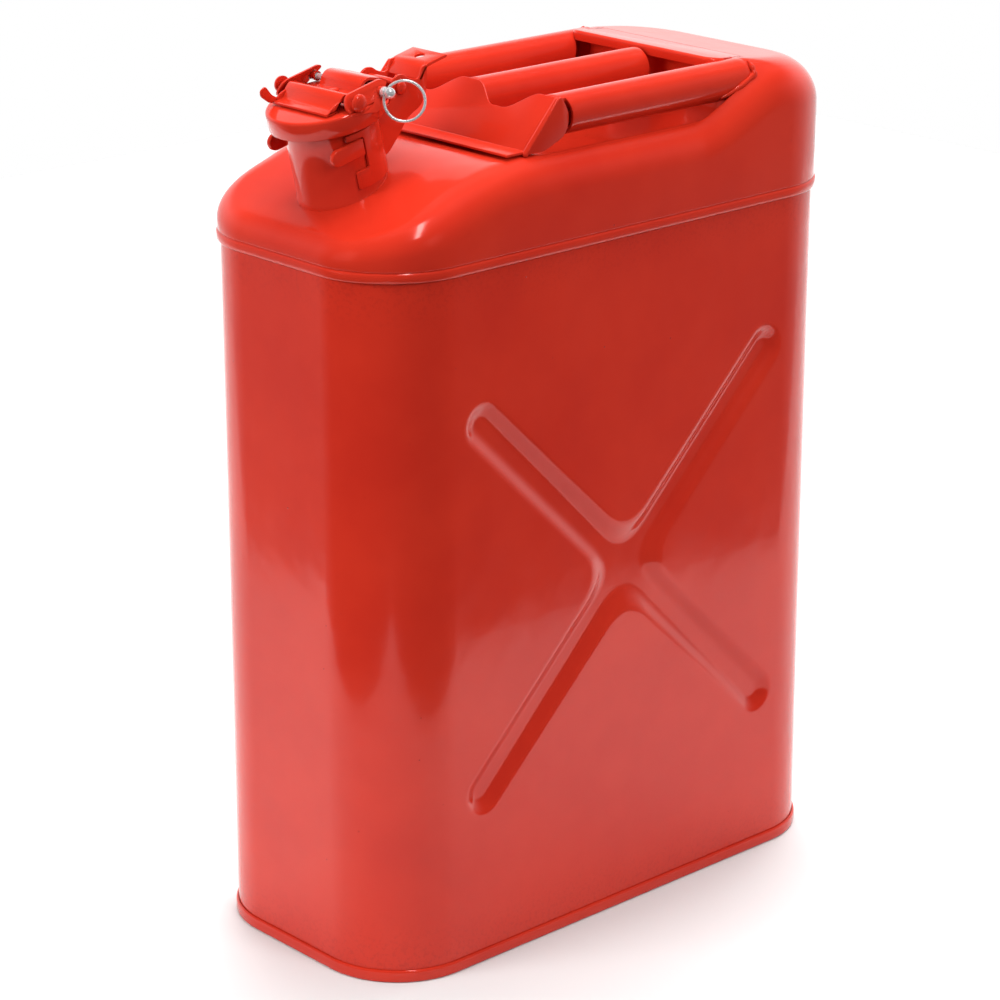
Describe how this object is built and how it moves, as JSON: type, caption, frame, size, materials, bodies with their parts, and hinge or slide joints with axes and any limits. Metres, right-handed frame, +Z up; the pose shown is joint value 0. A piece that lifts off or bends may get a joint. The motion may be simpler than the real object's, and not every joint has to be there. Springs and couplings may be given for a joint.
{
  "type": "steel jerry can",
  "caption": "Upright pressed steel fuel can with a cross embossed in each wide side, carrying handles and a cam lever spout cap with a locking pin and ring.",
  "frame": {"origin": "middle of the base at floor level", "axes": "+Z up, -Y towards the spout end, X across the width"},
  "size_m": [0.1662, 0.3492, 0.4883],
  "materials": {
    "red_enamel": "high gloss red enamel over pressed steel",
    "zinc_steel": "bright zinc plated steel",
    "plain_steel": "plain drawn steel tube",
    "black_rubber": "matt fuel resistant rubber"
  },
  "bodies": {
    "can": {"body_sleeve": "red_enamel", "base_pan": "red_enamel", "top_shell": "red_enamel", "handle_bulkhead": "red_enamel", "handle_tube_left": "red_enamel", "handle_tube_center": "red_enamel", "handle_tube_right": "red_enamel", "rear_bridge": "red_enamel", "neck": "red_enamel", "vent_tube": "plain_steel", "neck_lug_right": "red_enamel", "neck_lug_left": "red_enamel", "hinge_bracket": "red_enamel", "hinge_pin": "red_enamel"},
    "cap_arm": {"cap": "red_enamel", "cap_gasket": "black_rubber", "cap_rivet": "red_enamel", "cap_arm": "red_enamel", "yoke_ear_right": "red_enamel", "yoke_ear_left": "red_enamel", "pin_bush_right": "red_enamel", "pin_bush_left": "red_enamel", "lever_pivot": "red_enamel"},
    "thumb_lever": {"thumb_lever": "red_enamel"},
    "lock_pin": {"lock_pin": "zinc_steel"},
    "pull_ring": {"pull_ring": "zinc_steel"}
  },
  "joints": [
    {"name": "cap_hinge", "type": "hinge", "parent": "can", "child": "cap_arm", "pos_m": [0, -0.10063, 0.47501], "axis": [-1, 0, 0], "range_deg": [0, 105]},
    {"name": "thumb_lever_hinge", "type": "hinge", "parent": "cap_arm", "child": "thumb_lever", "pos_m": [0, -0.14336, 0.47607], "axis": [-1, 0, 0], "range_deg": [0, 100]},
    {"name": "lock_pin_slide", "type": "slide", "parent": "cap_arm", "child": "lock_pin", "axis": [1, 0, 0], "range_m": [0, 0.062]},
    {"name": "pull_ring_swing", "type": "hinge", "parent": "lock_pin", "child": "pull_ring", "pos_m": [0.0314, -0.12603, 0.4793], "axis": [0, -0.5721, -0.8202], "range_deg": [-40, 90]}
  ]
}
